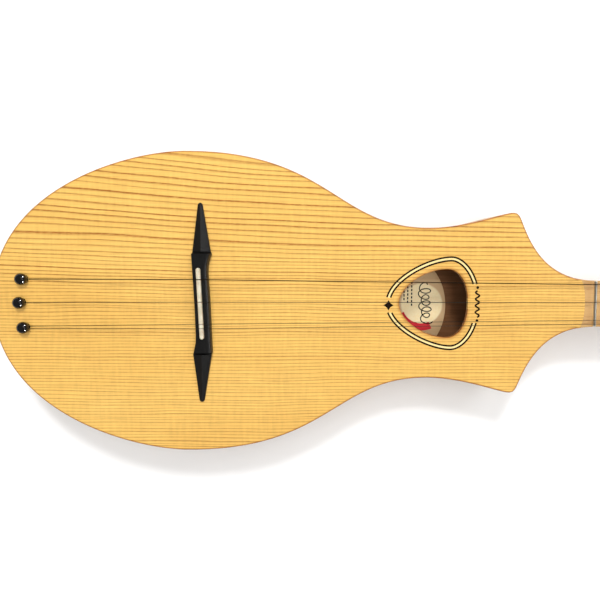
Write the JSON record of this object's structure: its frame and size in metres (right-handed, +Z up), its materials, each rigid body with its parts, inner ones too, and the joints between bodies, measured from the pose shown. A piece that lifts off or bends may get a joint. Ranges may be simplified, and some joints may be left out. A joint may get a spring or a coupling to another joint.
{
  "type": "stick dulcimer",
  "caption": "Long-necked fretted dulcimer: carved maple bowl and neck in one, spruce soundboard with an egg-shaped hole, pinned steel strings, and worm-geared tuners that turn their posts.",
  "frame": {"origin": "centre of the bounding box in X and Y, on the plane of the flat back", "axes": "+X from the tail to the headstock along the neck, +Y to the bass string's side, +Z up out of the soundboard"},
  "size_m": [0.7486, 0.1922, 0.0576],
  "materials": {
    "spruce": "satin lacquered spruce, straight grain along the neck",
    "maple": "satin finished maple",
    "black_composite": "black composite, satin",
    "white_composite": "off-white composite, polished",
    "gloss_black": "black plastic, glossy",
    "nickel_silver": "polished nickel silver fret wire",
    "steel_wire": "drawn steel wire, the bass string wound",
    "nickel_plate": "nickel plated steel",
    "brass": "turned brass",
    "paper": "plain cream paper"
  },
  "bodies": {
    "instrument": {"body_and_neck": "maple", "soundboard": "spruce", "brace_lower": "spruce", "brace_upper": "spruce", "bridge_plate": "maple", "bridge": "black_composite", "saddle": "white_composite", "nut": "white_composite", "paper_label": "paper", "pin_bass": "gloss_black", "pin_middle": "gloss_black", "pin_treble": "gloss_black", "fret_1": "nickel_silver", "fret_2": "nickel_silver", "fret_3": "nickel_silver", "fret_4": "nickel_silver", "fret_5": "nickel_silver", "fret_6": "nickel_silver", "fret_6_half": "nickel_silver", "fret_7": "nickel_silver", "string_bass": "steel_wire", "string_middle": "steel_wire", "string_treble_inner": "steel_wire", "string_treble_outer": "steel_wire", "tuner_1_plate": "nickel_plate", "tuner_1_bushing": "nickel_plate", "tuner_1_plate_screw_a": "nickel_plate", "tuner_1_plate_screw_b": "nickel_plate", "tuner_2_plate": "nickel_plate", "tuner_2_bushing": "nickel_plate", "tuner_2_plate_screw_a": "nickel_plate", "tuner_2_plate_screw_b": "nickel_plate", "tuner_3_plate": "nickel_plate", "tuner_3_bushing": "nickel_plate", "tuner_3_plate_screw_a": "nickel_plate", "tuner_3_plate_screw_b": "nickel_plate", "tuner_4_plate": "nickel_plate", "tuner_4_bushing": "nickel_plate", "tuner_4_plate_screw_a": "nickel_plate", "tuner_4_plate_screw_b": "nickel_plate"},
    "tuner_1_worm_body": {"tuner_1_worm": "nickel_plate", "tuner_1_button": "gloss_black"},
    "tuner_1_post_body": {"tuner_1_post": "nickel_plate", "tuner_1_gear": "brass", "tuner_1_gear_screw": "nickel_plate"},
    "tuner_2_worm_body": {"tuner_2_worm": "nickel_plate", "tuner_2_button": "gloss_black"},
    "tuner_2_post_body": {"tuner_2_post": "nickel_plate", "tuner_2_gear": "brass", "tuner_2_gear_screw": "nickel_plate"},
    "tuner_3_worm_body": {"tuner_3_worm": "nickel_plate", "tuner_3_button": "gloss_black"},
    "tuner_3_post_body": {"tuner_3_post": "nickel_plate", "tuner_3_gear": "brass", "tuner_3_gear_screw": "nickel_plate"},
    "tuner_4_worm_body": {"tuner_4_worm": "nickel_plate", "tuner_4_button": "gloss_black"},
    "tuner_4_post_body": {"tuner_4_post": "nickel_plate", "tuner_4_gear": "brass", "tuner_4_gear_screw": "nickel_plate"}
  },
  "joints": [
    {"name": "tuner_1_button_turn", "type": "hinge", "parent": "instrument", "child": "tuner_1_worm_body", "pos_m": [0.29557, 0.0115, 0.01896], "axis": [0, 1, 0], "continuous": true},
    {"name": "tuner_1_post_turn", "type": "hinge", "parent": "instrument", "child": "tuner_1_post_body", "pos_m": [0.30541, 0.0115, 0.03519], "axis": [0.1891, 0, 0.982], "continuous": true},
    {"name": "tuner_2_button_turn", "type": "hinge", "parent": "instrument", "child": "tuner_2_worm_body", "pos_m": [0.33877, 0.009, 0.01064], "axis": [0, 1, 0], "continuous": true},
    {"name": "tuner_2_post_turn", "type": "hinge", "parent": "instrument", "child": "tuner_2_post_body", "pos_m": [0.34862, 0.009, 0.02687], "axis": [0.1891, 0, 0.982], "continuous": true},
    {"name": "tuner_3_button_turn", "type": "hinge", "parent": "instrument", "child": "tuner_3_worm_body", "pos_m": [0.29557, -0.0115, 0.01896], "axis": [0, 1, 0], "continuous": true},
    {"name": "tuner_3_post_turn", "type": "hinge", "parent": "instrument", "child": "tuner_3_post_body", "pos_m": [0.30541, -0.0115, 0.03519], "axis": [0.1891, 0, 0.982], "continuous": true},
    {"name": "tuner_4_button_turn", "type": "hinge", "parent": "instrument", "child": "tuner_4_worm_body", "pos_m": [0.33877, -0.009, 0.01064], "axis": [0, 1, 0], "continuous": true},
    {"name": "tuner_4_post_turn", "type": "hinge", "parent": "instrument", "child": "tuner_4_post_body", "pos_m": [0.34862, -0.009, 0.02687], "axis": [0.1891, 0, 0.982], "continuous": true}
  ],
  "couplings": [
    {"joint": "tuner_1_post_turn", "follows": "tuner_1_button_turn", "ratio": 0.066667},
    {"joint": "tuner_2_post_turn", "follows": "tuner_2_button_turn", "ratio": 0.066667},
    {"joint": "tuner_3_post_turn", "follows": "tuner_3_button_turn", "ratio": 0.066667},
    {"joint": "tuner_4_post_turn", "follows": "tuner_4_button_turn", "ratio": 0.066667}
  ]
}
